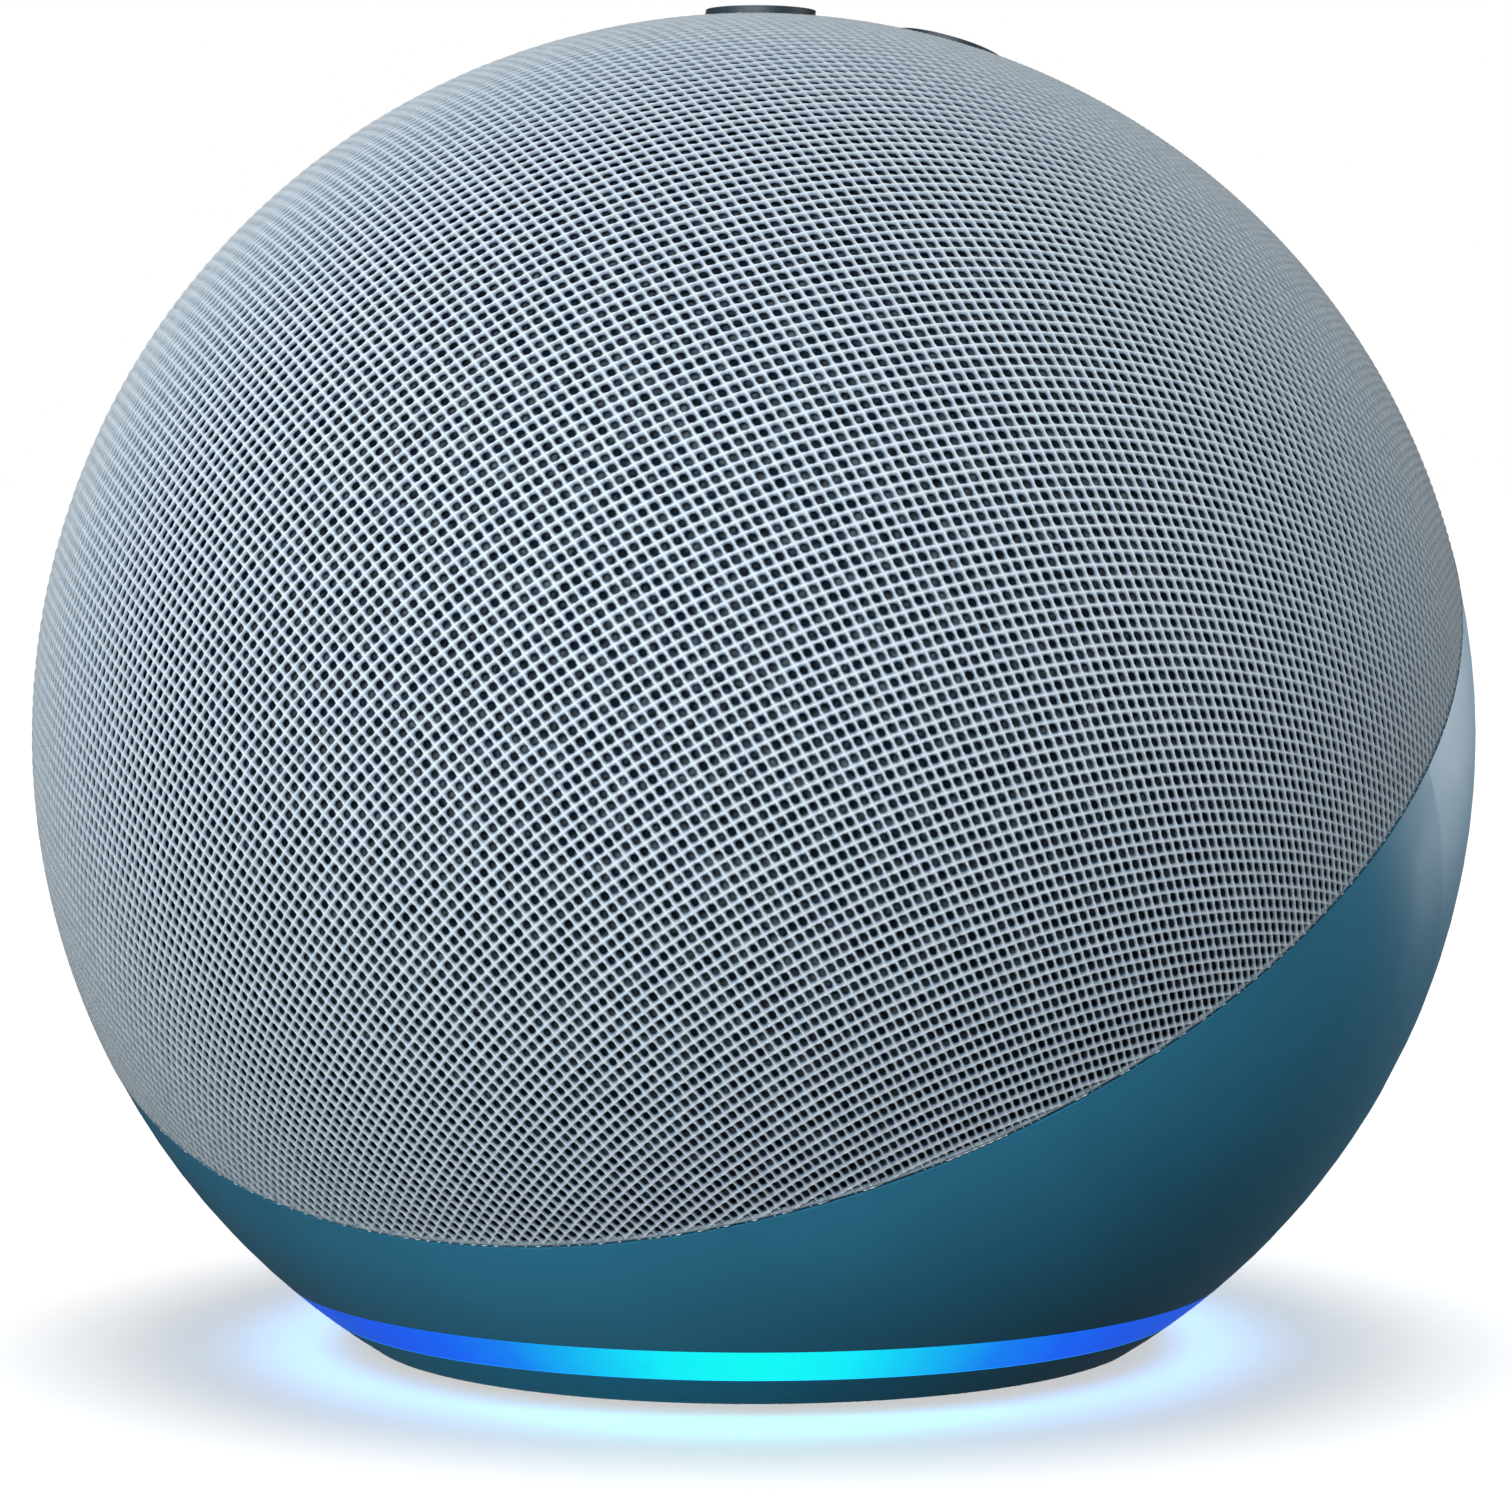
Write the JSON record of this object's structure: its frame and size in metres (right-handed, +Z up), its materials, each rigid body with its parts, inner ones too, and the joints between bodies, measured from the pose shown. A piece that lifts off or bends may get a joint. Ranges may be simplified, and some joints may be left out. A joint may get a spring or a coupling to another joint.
{
  "type": "smart speaker",
  "caption": "Ball-shaped smart speaker: knit-covered dome on a plastic lower shell, light ring round the base, push buttons on top, drivers and boards inside.",
  "frame": {"origin": "on the table, under the middle of the ball", "axes": "+Z up, -Y to the front (where the knit comes lowest), +Y to the back with the sockets, +X to the left as seen from behind"},
  "size_m": [0.144, 0.1439, 0.1336],
  "materials": {
    "knit": "open warp knit, pale blue-grey",
    "shell_plastic": "fine matte, teal blue",
    "base_plastic": "fine matte, dark teal",
    "diffuser": "milky light guide, lit blue and cyan",
    "button_plastic": "matte, dark blue-grey",
    "black_plastic": "matte black",
    "foot_rubber": "matte",
    "soft_rubber": "matte",
    "brass": "turned",
    "steel": "zinc plated",
    "magnet": "ferrite, satin",
    "aluminium": "stamped",
    "board": "green solder mask",
    "cone_paper": "coated pulp",
    "dome_silk": "coated textile",
    "copper": "wound copper wire",
    "phosphor": "light source package",
    "ribbon": "flexible film",
    "spider_cloth": "resin-treated cloth"
  },
  "bodies": {
    "case": {"fabric_cover": "knit", "grille_dome": "black_plastic", "lower_shell": "shell_plastic", "light_ring": "diffuser", "base_cup": "base_plastic", "rubber_foot": "foot_rubber", "tripod_insert": "brass", "light_board": "board", "light_sources": "phosphor", "light_board_screws": "steel", "base_screws": "steel", "main_board": "board", "processor_shield": "steel", "thermal_pad": "soft_rubber", "heat_spreader": "aluminium", "capacitors": "aluminium", "antennas": "ribbon", "audio_socket": "black_plastic", "power_socket": "black_plastic", "power_pin": "steel", "speaker_tub": "black_plastic", "tub_screws": "steel", "baffle": "black_plastic", "baffle_screws": "steel", "woofer_gasket": "soft_rubber", "woofer_basket": "steel", "woofer_screws": "steel", "woofer_top_plate": "steel", "woofer_magnet": "magnet", "woofer_yoke": "steel", "woofer_surround": "soft_rubber", "woofer_spider": "spider_cloth", "left_tweeter_pod": "black_plastic", "left_tweeter_plate": "black_plastic", "left_tweeter_motor": "magnet", "right_tweeter_pod": "black_plastic", "right_tweeter_plate": "black_plastic", "right_tweeter_motor": "magnet", "button_carrier": "black_plastic", "top_board": "board", "top_board_screws": "steel", "tactile_switches": "black_plastic", "microphones": "steel", "microphone_tubes": "soft_rubber", "ribbon_cable": "ribbon", "ribbon_connectors": "black_plastic"},
    "woofer_cone_assembly": {"woofer_cone": "cone_paper", "woofer_dust_cap": "cone_paper", "woofer_voice_coil": "copper"},
    "left_dome": {"left_tweeter_dome": "dome_silk"},
    "right_dome": {"right_tweeter_dome": "dome_silk"},
    "volume_up_button": {"volume_up_button": "button_plastic"},
    "microphone_mute_button": {"microphone_mute_button": "button_plastic"},
    "volume_down_button": {"volume_down_button": "button_plastic"},
    "action_button": {"action_button": "button_plastic"}
  },
  "joints": [
    {"name": "volume_up_press", "type": "slide", "parent": "case", "child": "volume_up_button", "axis": [0, -0.213, -0.977], "range_m": [0, 0.0005], "stiffness_N_per_m": 1200, "springref_m": -0.0004},
    {"name": "microphone_mute_press", "type": "slide", "parent": "case", "child": "microphone_mute_button", "axis": [0, -0.213, -0.977], "range_m": [0, 0.0005], "stiffness_N_per_m": 1200, "springref_m": -0.0004},
    {"name": "volume_down_press", "type": "slide", "parent": "case", "child": "volume_down_button", "axis": [0, -0.213, -0.977], "range_m": [0, 0.0005], "stiffness_N_per_m": 1200, "springref_m": -0.0004},
    {"name": "action_press", "type": "slide", "parent": "case", "child": "action_button", "axis": [0, -0.213, -0.977], "range_m": [0, 0.0005], "stiffness_N_per_m": 1200, "springref_m": -0.0004},
    {"name": "woofer_stroke", "type": "slide", "parent": "case", "child": "woofer_cone_assembly", "axis": [0, -0.5927, 0.8054], "range_m": [-0.0025, 0.0025], "stiffness_N_per_m": 1250, "deforming": ["woofer_surround", "woofer_spider"]},
    {"name": "left_tweeter_stroke", "type": "slide", "parent": "case", "child": "left_dome", "axis": [0, -0.9994, -0.0349], "range_m": [-0.0002, 0.0002], "stiffness_N_per_m": 4000},
    {"name": "right_tweeter_stroke", "type": "slide", "parent": "case", "child": "right_dome", "axis": [0, -0.9994, -0.0349], "range_m": [-0.0002, 0.0002], "stiffness_N_per_m": 4000}
  ]
}
